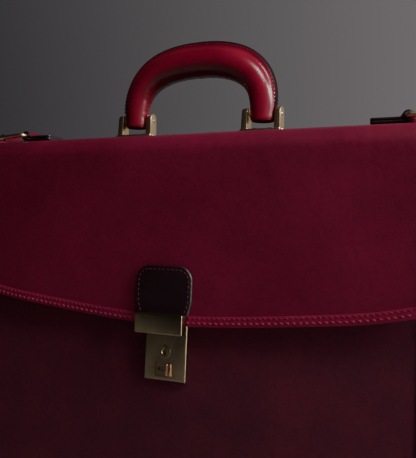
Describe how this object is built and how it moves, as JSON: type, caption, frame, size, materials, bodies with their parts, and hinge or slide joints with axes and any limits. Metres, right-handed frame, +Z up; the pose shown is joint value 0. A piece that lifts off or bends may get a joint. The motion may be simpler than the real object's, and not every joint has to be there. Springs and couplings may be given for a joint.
{
  "type": "briefcase",
  "caption": "Slim leather briefcase with a hinged lid, front flap, tongue lock with thumb slide, folding padded top handle and strap rings at the ends.",
  "frame": {"origin": "on the ground under the middle foot, below the middle of the handle", "axes": "+X along the case, to the right seen from the front; +Y to the back; +Z up"},
  "size_m": [0.4442, 0.0985, 0.4063],
  "materials": {
    "red_leather": "smooth, semi-gloss",
    "dark_leather": "smooth, satin",
    "lining": "matt suede",
    "board": "pressed fibre board, matt",
    "brass": "polished, lightly tarnished",
    "lock_brass": "satin, aged",
    "steel": "brushed"
  },
  "bodies": {
    "case": {"front_panel": "red_leather", "back_panel": "red_leather", "bottom_panel": "red_leather", "base_board": "board", "gusset_front_left": "red_leather", "gusset_front_right": "red_leather", "gusset_rear_left": "red_leather", "gusset_rear_right": "red_leather", "divider": "lining", "slip_pocket": "lining", "foot_1": "brass", "foot_2": "brass", "foot_3": "brass", "foot_4": "brass", "foot_5": "brass", "lock_case": "lock_brass", "lock_back_plate": "steel", "lock_rivet_1": "lock_brass", "lock_rivet_2": "lock_brass", "detent_spring": "steel", "stud_post_left": "brass", "stud_post_right": "brass"},
    "key": {"key_cylinder": "lock_brass", "lock_cam": "steel"},
    "slide": {"slide_thumb": "lock_brass", "latch_bolt": "steel"},
    "lid": {"lid_top": "red_leather", "lid_board": "board", "handle_bracket_left": "brass", "handle_bracket_right": "brass", "pivot_pin_left": "brass", "pivot_pin_right": "brass", "backing_plate_left": "steel", "backing_plate_right": "steel", "bracket_screw_1": "brass", "bracket_screw_2": "brass", "bracket_screw_3": "brass", "bracket_screw_4": "brass", "ring_chape_left": "red_leather", "ring_chape_right": "red_leather"},
    "flap": {"flap_leather": "red_leather", "flap_lining": "lining", "closure_tab": "dark_leather", "hasp_bar": "lock_brass", "striker": "steel"},
    "handle": {"handle_grip": "red_leather", "handle_core": "steel"},
    "ring_left": {"strap_ring_left": "brass"},
    "ring_right": {"strap_ring_right": "brass"},
    "strap_left": {"side_strap_left": "red_leather", "stud_cap_left": "brass"},
    "strap_right": {"side_strap_right": "red_leather", "stud_cap_right": "brass"}
  },
  "joints": [
    {"name": "lid_hinge", "type": "hinge", "parent": "case", "child": "lid", "pos_m": [0, 0.03975, 0.31186], "axis": [-1, 0, 0], "range_deg": [0, 110]},
    {"name": "flap_hinge", "type": "hinge", "parent": "lid", "child": "flap", "pos_m": [0, -0.04224, 0.31112], "axis": [-1, 0, 0], "range_deg": [0, 95]},
    {"name": "handle_fold", "type": "hinge", "parent": "lid", "child": "handle", "pos_m": [0, 0, 0.3381], "axis": [1, 0, 0], "range_deg": [-78, 78]},
    {"name": "lock_slide", "type": "slide", "parent": "case", "child": "slide", "axis": [1, 0, 0], "range_m": [-0.01, 0]},
    {"name": "key_turn", "type": "hinge", "parent": "case", "child": "key", "pos_m": [0, -0.0395, 0.1358], "axis": [0, 1, 0], "range_deg": [0, 90]},
    {"name": "ring_left_swing", "type": "hinge", "parent": "lid", "child": "ring_left", "pos_m": [-0.187, 0, 0.3284], "axis": [0, 1, 0], "range_deg": [0, 110]},
    {"name": "strap_left_swing", "type": "hinge", "parent": "ring_left", "child": "strap_left", "pos_m": [-0.217, 0, 0.3264], "axis": [0, 1, 0], "range_deg": [0, 90]},
    {"name": "ring_right_swing", "type": "hinge", "parent": "lid", "child": "ring_right", "pos_m": [0.187, 0, 0.3284], "axis": [0, -1, 0], "range_deg": [0, 110]},
    {"name": "strap_right_swing", "type": "hinge", "parent": "ring_right", "child": "strap_right", "pos_m": [0.217, 0, 0.3264], "axis": [0, -1, 0], "range_deg": [0, 90]}
  ]
}
